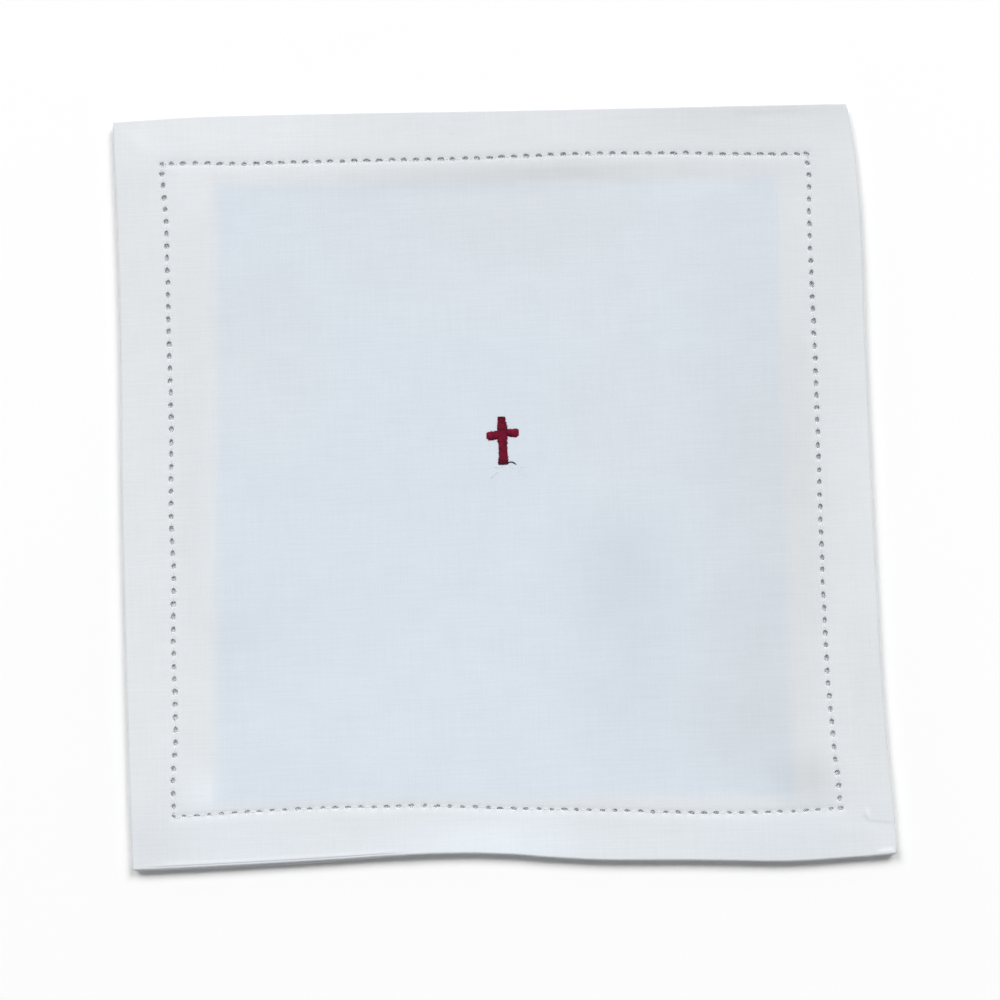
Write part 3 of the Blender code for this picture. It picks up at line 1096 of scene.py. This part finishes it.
# Loose ends at the cross, in millimetres from its crossing and up from the cloth.
TAIL = ((0.6, -6.9, 0.25), (1.3, -6.75, 0.14), (1.9, -6.75, 0.12), (2.45, -7.0, 0.1), (2.9, -7.35, 0.08))
TAIL_RADIUS = 0.11 * MM
TAIL_TONE = 0.35
REMAIN_RADIUS = 0.06 * MM
REMAIN_TONE = 0.82
REMAINS = (
    ((-2.3, -7.8, -0.03), (-1.0, -8.0, -0.01), (0.4, -8.0, -0.03)),
    ((3.3, -7.9, -0.03), (4.4, -8.1, -0.01), (5.4, -8.2, -0.03)),
    ((-3.1, -10.4, -0.03), (-2.4, -9.6, -0.01), (-1.4, -9.0, -0.03)),
    ((3.1, -8.8, -0.03), (4.2, -9.7, -0.01), (5.4, -10.6, -0.03)),
    ((1.2, -7.6, -0.03), (1.9, -8.2, -0.01), (2.6, -8.4, -0.03)),
)


def build_cross(cloth, silk, thread):
    low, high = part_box("cross")
    middle = Vector((low.x + CROSS_LOW[0] * MM, low.y + CROSS_LOW[1] * MM, 0.0))
    s = 0.5 + middle.x / cloth.panel.width
    t = 0.5 + middle.y / cloth.panel.height
    middle.z = cloth.surface(s, t)
    sewn = Embroidery(cloth, middle)
    sewn.lay(LEFT_ARM, False, 0.0)
    sewn.lay(RIGHT_ARM, False, 0.0)
    sewn.lay(UPRIGHT, True, UPRIGHT_RISE)
    sewn.loose(TAIL, TAIL_RADIUS, TAIL_TONE)
    cross = sewn.net.build("embroidered_cross", silk)
    spare = Embroidery(cloth, middle)
    for rows in REMAINS:
        spare.loose(rows, REMAIN_RADIUS, REMAIN_TONE)
    ends = spare.net.build("bobbin_thread", thread)
    return cross, ends


class Shader:
    """A new material and short ways to add linked nodes to it."""

    def __init__(self, name):
        self.material = bpy.data.materials.new(name)
        self.material.use_nodes = True
        self.tree = self.material.node_tree
        self.surface = self.tree.nodes["Principled BSDF"]

    def add(self, kind, **values):
        node = self.tree.nodes.new(kind)
        for key, value in values.items():
            setattr(node, key, value)
        return node

    def link(self, source, target):
        self.tree.links.new(source, target)

    def feed(self, target, value):
        if isinstance(value, bpy.types.NodeSocket):
            self.link(value, target)
        else:
            target.default_value = value

    def maths(self, operation, *values):
        node = self.add("ShaderNodeMath", operation=operation)
        for target, value in zip(node.inputs, values):
            self.feed(target, value)
        return node.outputs[0]

    def place(self):
        return self.add("ShaderNodeTexCoord").outputs["Object"]

    def scaled(self, vector, x, y, z):
        node = self.add("ShaderNodeVectorMath", operation="MULTIPLY")
        self.link(vector, node.inputs[0])
        node.inputs[1].default_value = (x, y, z)
        return node.outputs[0]

    def cloudy(self, vector, scale, detail=2.0):
        node = self.add("ShaderNodeTexNoise")
        self.link(vector, node.inputs["Vector"])
        node.inputs["Scale"].default_value = scale
        node.inputs["Detail"].default_value = detail
        return node.outputs["Fac"]

    def between(self, value, low, high, new_low, new_high):
        node = self.add("ShaderNodeMapRange")
        self.feed(node.inputs["Value"], value)
        labels = ("From Min", "From Max", "To Min", "To Max")
        for label, number in zip(labels, (low, high, new_low, new_high)):
            node.inputs[label].default_value = number
        return node.outputs[0]

    def colours(self, share, first, second):
        node = self.add("ShaderNodeMix", data_type="RGBA")
        self.feed(node.inputs["Factor"], share)
        self.feed(node.inputs[6], first if isinstance(first, bpy.types.NodeSocket) else (*first, 1.0))
        self.feed(node.inputs[7], second if isinstance(second, bpy.types.NodeSocket) else (*second, 1.0))
        return node.outputs[2]

    def brighten(self, colour, amount):
        """The colour times an amount."""
        node = self.add("ShaderNodeVectorMath", operation="SCALE")
        self.link(colour, node.inputs[0])
        self.feed(node.inputs["Scale"], amount)
        return node.outputs[0]

    def measured(self, name):
        node = self.add("ShaderNodeAttribute", attribute_name=name)
        return node.outputs["Fac"]

    def bump(self, height, distance, strength=1.0):
        node = self.add("ShaderNodeBump")
        self.link(height, node.inputs["Height"])
        node.inputs["Distance"].default_value = distance
        node.inputs["Strength"].default_value = strength
        self.link(node.outputs["Normal"], self.surface.inputs["Normal"])

    def finish(self, colour, roughness, sheen=0.0, specular=0.3):
        self.feed(self.surface.inputs["Base Color"], colour)
        self.feed(self.surface.inputs["Roughness"], roughness)
        self.surface.inputs["Sheen Weight"].default_value = sheen
        self.surface.inputs["Sheen Roughness"].default_value = 0.5
        self.surface.inputs["Specular IOR Level"].default_value = specular
        return self.material


# The linen's finish
YARN_PITCH = 0.42 * MM
HEM_COLOUR = (0.751, 0.780, 0.806)
BOARD_COLOUR = (0.682, 0.743, 0.812)
THREAD_COLOUR = (0.82, 0.845, 0.86)
SLUB = 0.014
FIBRE = 0.012


def weave(shader, place):
    """Height of a plain weave of uneven yarns, from 0 to 1."""
    wander = shader.add("ShaderNodeTexNoise")
    shader.link(place, wander.inputs["Vector"])
    wander.inputs["Scale"].default_value = 1 / (2.5 * MM)
    shift = shader.add("ShaderNodeVectorMath", operation="MULTIPLY_ADD")
    shader.link(wander.outputs["Color"], shift.inputs[0])
    shift.inputs[1].default_value = (0.12 * MM,) * 3
    shader.link(place, shift.inputs[2])
    split = shader.add("ShaderNodeSeparateXYZ")
    shader.link(shift.outputs[0], split.inputs[0])
    turns = math.pi / YARN_PITCH
    across = shader.maths("SINE", shader.maths("MULTIPLY", split.outputs["X"], turns))
    upward = shader.maths("SINE", shader.maths("MULTIPLY", split.outputs["Y"], turns))
    over = shader.maths("MULTIPLY", across, upward)
    ridges = shader.maths("MULTIPLY", shader.maths("ABSOLUTE", across), shader.maths("ABSOLUTE", upward))
    return shader.maths("MULTIPLY_ADD", over, 0.35, shader.maths("MULTIPLY", ridges, 0.6))


def slubs(shader, place):
    """Thicker and thinner yarns running both ways, as a factor close to 1."""
    weft = shader.cloudy(shader.scaled(place, 1 / (14 * MM), 1 / (0.5 * MM), 1.0), 1.0, 1.0)
    warp = shader.cloudy(shader.scaled(place, 1 / (0.5 * MM), 1 / (16 * MM), 1.0), 1.0, 1.0)
    fibres = shader.cloudy(place, 1 / (0.35 * MM), 1.0)
    weft = shader.between(weft, 0.3, 0.7, 1 - SLUB, 1 + SLUB)
    warp = shader.between(warp, 0.3, 0.7, 1 - SLUB * 0.7, 1 + SLUB * 0.7)
    fibres = shader.between(fibres, 0.3, 0.7, 1 - FIBRE, 1 + FIBRE)
    return shader.maths("MULTIPLY", shader.maths("MULTIPLY", weft, warp), fibres)


def crease_line_shade(shader, x, y, line):
    """What one fine crease's painted shade or highlight adds to the tone: its change, fading beside the
    line and at its ends.
    """
    start, end = Vector((line.x0, line.y0)) * MM, Vector((line.x1, line.y1)) * MM
    middle = (start + end) / 2
    run = (end - start) / (end - start).length_squared * 2
    beside = Vector((-run.y, run.x)).normalized() / (line.width * MM)
    along, across = (
        shader.maths("MULTIPLY_ADD", x, way.x, shader.maths("MULTIPLY_ADD", y, way.y, -middle.dot(way)))
        for way in (run, beside)
    )
    square = shader.maths("MULTIPLY", across, across)
    share = shader.maths("EXPONENT", shader.maths("MULTIPLY", square, -1.0))
    ends = shader.between(shader.maths("ABSOLUTE", along), 0.6, 1.0, line.change, 0.0)
    return shader.maths("MULTIPLY", share, ends)


def tone_and_crease_shade(shader, place):
    """The fine creases' painted shade and highlights together, added to the measured tone."""
    split = shader.add("ShaderNodeSeparateXYZ")
    shader.link(place, split.inputs[0])
    total = shader.measured("tone")
    for line in CREASE_SHADE_LINES:
        total = shader.maths("ADD", total, crease_line_shade(shader, split.outputs["X"], split.outputs["Y"], line))
    return total


def make_linen():
    shader = Shader("white_linen")
    place = shader.place()
    height = weave(shader, place)
    cover = shader.measured("cover")
    mottle = shader.between(shader.cloudy(place, 1 / (7 * MM), 3.0), 0.3, 0.7, 0.99, 1.01)
    uneven = shader.maths("MULTIPLY", slubs(shader, place), mottle)
    factor = shader.maths("MULTIPLY", uneven, tone_and_crease_shade(shader, place))
    # painted shade: the weave's gaps are a little darker
    gap_shade = shader.between(height, 0.0, 0.6, 0.99, 1.004)
    base = shader.colours(cover, HEM_COLOUR, BOARD_COLOUR)
    colour = shader.brighten(base, shader.maths("MULTIPLY", factor, gap_shade))
    shader.bump(height, 0.04 * MM, 0.22)
    roughness = shader.between(height, 0.0, 1.0, 0.95, 0.82)
    return shader.finish(colour, roughness, sheen=0.08, specular=0.2)


def make_white_thread():
    shader = Shader("white_thread")
    place = shader.place()
    twist = shader.cloudy(shader.scaled(place, 1.0, 1.0, 2.0), 1 / (0.12 * MM), 2.0)
    uneven = shader.between(twist, 0.3, 0.7, 0.95, 1.04)
    factor = shader.maths("MULTIPLY", uneven, shader.measured("tone"))
    colour = shader.brighten(shader.colours(0.5, HEM_COLOUR, THREAD_COLOUR), factor)
    shader.bump(twist, 0.03 * MM, 0.5)
    return shader.finish(colour, 0.7, sheen=0.1, specular=0.3)


# The silk's colours, and how far from the upright's foot and head it is darker
SILK_COLOUR = (0.215, 0.005, 0.030)
SILK_DARK = (0.085, 0.003, 0.018)
DARK_FOOT = 2.0 * MM
DARK_HEAD = 1.3 * MM


def make_silk():
    """Crimson thread, darker towards the upright's ends and in places."""
    shader = Shader("crimson_silk")
    place = shader.place()
    low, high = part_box("cross")
    split = shader.add("ShaderNodeSeparateXYZ")
    shader.link(place, split.inputs[0])
    foot = shader.between(split.outputs["Y"], low.y, low.y + DARK_FOOT, 0.9, 0.0)
    head = shader.between(split.outputs["Y"], high.y - DARK_HEAD, high.y, 0.0, 1.0)
    # darker in soft blotches
    dark_blotches = shader.between(shader.cloudy(place, 1 / (0.9 * MM), 3.0), 0.42, 0.68, 0.0, 0.75)
    dark = shader.maths("MAXIMUM", shader.maths("MAXIMUM", foot, head), dark_blotches)
    fibres = shader.cloudy(place, 1 / (0.06 * MM), 2.0)
    uneven = shader.between(fibres, 0.3, 0.7, 0.85, 1.15)
    factor = shader.maths("MULTIPLY", uneven, shader.measured("tone"))
    colour = shader.brighten(shader.colours(dark, SILK_COLOUR, SILK_DARK), factor)
    shader.bump(fibres, 0.02 * MM, 0.4)
    return shader.finish(colour, 0.6, specular=0.12)


SHEET_COLOURS = ((0.60, 0.68, 0.74), (0.70, 0.77, 0.82))


def make_board():
    """The stiffener: a smooth pale sheet with a faint grain."""
    shader = Shader("stiffener_sheet")
    place = shader.place()
    grain = shader.cloudy(place, 1 / (0.8 * MM), 4.0)
    clouds = shader.cloudy(place, 1 / (18 * MM), 2.0)
    shade = shader.maths("MULTIPLY_ADD", grain, 0.5, shader.maths("MULTIPLY", clouds, 0.5))
    share = shader.between(shade, 0.35, 0.65, 0.0, 1.0)
    colour = shader.colours(share, *SHEET_COLOURS)
    shader.bump(grain, 0.02 * MM, 0.3)
    return shader.finish(colour, shader.between(grain, 0.3, 0.7, 0.4, 0.55))


FLOOR_COLOURS = ((0.985, 0.985, 0.985), (0.995, 0.995, 0.995))
FLOOR_SIZE = 12.0


def make_floor_material():
    shader = Shader("studio_floor")
    clouds = shader.cloudy(shader.place(), 9.0, 1.0)
    colour = shader.colours(clouds, *FLOOR_COLOURS)
    return shader.finish(colour, 0.9, specular=0.0)


def build_floor():
    net = Net()
    half = FLOOR_SIZE / 2
    corners = [net.add((x * half, y * half, 0.0)) for x, y in CORNER_WAYS]
    net.faces.append(tuple(corners))
    return net.build("floor", make_floor_material())


# Light and camera
LAMP_DISTANCE = 16.0
Lamp = namedtuple("Lamp", "name azimuth elevation width depth share")
LAMPS = (
    Lamp(name="left", azimuth=-34, elevation=40, width=7.2, depth=6.8, share=0.416),
    Lamp(name="right", azimuth=34, elevation=40, width=7.2, depth=6.8, share=0.436),
)
SKY_HORIZON = 0.95
SKY_TOP = 0.13
SKY_RISE = (0.03, 0.5)     # heights between which the one goes over into the other
CAMERA_AT = Vector((2.63, -31.29, 362.19)) * MM
CAMERA_TURN = (4.234, 0.484, -2.014)
CAMERA_LENS = 55.0


def build_lamp(row):
    """A softbox that gives the floor its share of a full light; azimuth 0 is towards +Y."""
    elevation, azimuth = math.radians(row.elevation), math.radians(row.azimuth)
    data = bpy.data.lights.new(row.name, "AREA")
    data.shape = "RECTANGLE"
    data.size, data.size_y = row.width, row.depth
    data.energy = row.share * (math.pi * LAMP_DISTANCE) ** 2 / math.sin(elevation)
    lamp = bpy.data.objects.new(row.name, data)
    flat = math.cos(elevation)
    way = Vector((flat * math.sin(azimuth), flat * math.cos(azimuth), math.sin(elevation)))
    lamp.location = way * LAMP_DISTANCE
    lamp.rotation_euler = way.to_track_quat("Z", "Y").to_euler()
    lamp.visible_camera = False
    bpy.context.scene.collection.objects.link(lamp)


def build_sky():
    """White at the horizon and dimmer overhead."""
    world = bpy.data.worlds.new("studio")
    world.use_nodes = True
    tree = world.node_tree
    background = tree.nodes["Background"]
    way = tree.nodes.new("ShaderNodeTexCoord")
    split = tree.nodes.new("ShaderNodeSeparateXYZ")
    tree.links.new(way.outputs["Generated"], split.inputs[0])
    level = tree.nodes.new("ShaderNodeMapRange")
    level.interpolation_type = "SMOOTHSTEP"
    labels = ("From Min", "From Max", "To Min", "To Max")
    for label, number in zip(labels, (*SKY_RISE, SKY_HORIZON, SKY_TOP)):
        level.inputs[label].default_value = number
    tree.links.new(split.outputs["Z"], level.inputs["Value"])
    tree.links.new(level.outputs[0], background.inputs["Strength"])
    background.inputs["Color"].default_value = (1.0, 1.0, 1.0, 1.0)
    bpy.context.scene.world = world


def build_camera():
    data = bpy.data.cameras.new("camera")
    data.lens = CAMERA_LENS
    data.clip_start = 0.01
    camera = bpy.data.objects.new("camera", data)
    camera.location = CAMERA_AT
    camera.rotation_euler = [math.radians(turn) for turn in CAMERA_TURN]
    bpy.context.scene.collection.objects.link(camera)
    bpy.context.scene.camera = camera


def attach(piece, slot, *replaced):
    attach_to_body(piece, "root")
    if replaced:
        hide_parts(*replaced)


def main():
    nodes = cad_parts
    linen = make_linen()
    white = make_white_thread()
    front, stitches, cloth = build_front(nodes, linen, white)
    back = build_back(nodes, linen, cloth)
    cross, ends = build_cross(cloth, make_silk(), white)
    nodes["stiffener"].data.materials.clear()
    nodes["stiffener"].data.materials.append(make_board())
    attach(front, "linen", "front_panel")
    attach(back, "linen", "back_panel")
    attach(stitches, "linen")
    attach(cross, "thread", "cross")
    attach(ends, "linen")
    build_floor()
    for row in LAMPS:
        build_lamp(row)
    build_sky()
    build_camera()
    scene = bpy.context.scene
    scene.view_settings.view_transform = "Standard"


main()
